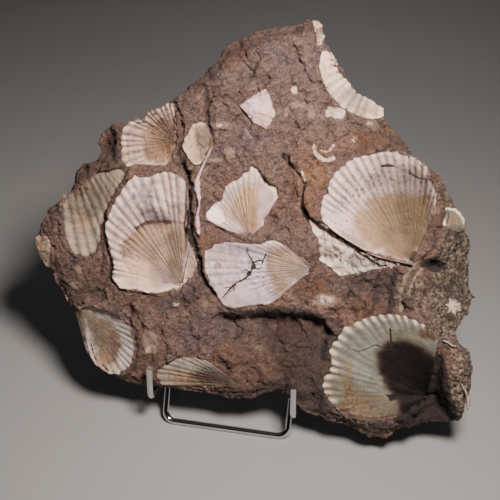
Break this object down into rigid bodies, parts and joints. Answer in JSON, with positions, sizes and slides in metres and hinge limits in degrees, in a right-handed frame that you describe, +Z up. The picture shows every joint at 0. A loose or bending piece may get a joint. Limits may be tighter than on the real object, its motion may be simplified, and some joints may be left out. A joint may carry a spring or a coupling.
{
  "type": "fossil scallop slab on wire stand",
  "caption": "Leaning slab of brown rock with fossil scallop valves cemented in its face, held upright by a small chromed wire stand.",
  "frame": {"origin": "under the middle of the whole object's box, on the surface that the wire stand rests on", "axes": "+X along the stand's base bar, to the viewer's right; +Y away from the viewer, to the rear bar; +Z up"},
  "size_m": [0.2694, 0.109, 0.2468],
  "materials": {
    "rock": "rough reddish-brown fine-grained rock",
    "shell_chalk": "chalky white fossil shell with peach stains",
    "shell_cream": "cream fossil shell with tan and brown stains",
    "shell_buff": "weathered buff-grey fossil shell",
    "chrome": "bright chromed steel wire"
  },
  "bodies": {
    "root": {"matrix_slab": "rock", "scallop_large_right": "shell_chalk", "scallop_under_right": "shell_chalk", "scallop_center_left": "shell_cream", "scallop_far_left": "shell_buff", "scallop_upper_left": "shell_cream", "scallop_center": "shell_chalk", "scallop_lower_center": "shell_chalk", "scallop_top_right_edge": "shell_chalk", "scallop_hollow_lower_right": "shell_cream", "scallop_lower_left": "shell_cream", "scallop_bottom_edge": "shell_cream", "small_cup_valve": "shell_cream", "shell_fragment_top": "shell_chalk", "shell_tip_fragment": "shell_chalk", "shell_left_edge": "shell_buff", "shell_right_edge": "shell_chalk", "shell_right_chip": "shell_chalk", "shell_blade": "shell_chalk", "shell_rim_lower_right": "shell_chalk", "shell_rim_right": "shell_chalk", "stand_hook_wire": "chrome", "stand_base_wire": "chrome"}
  },
  "joints": []
}
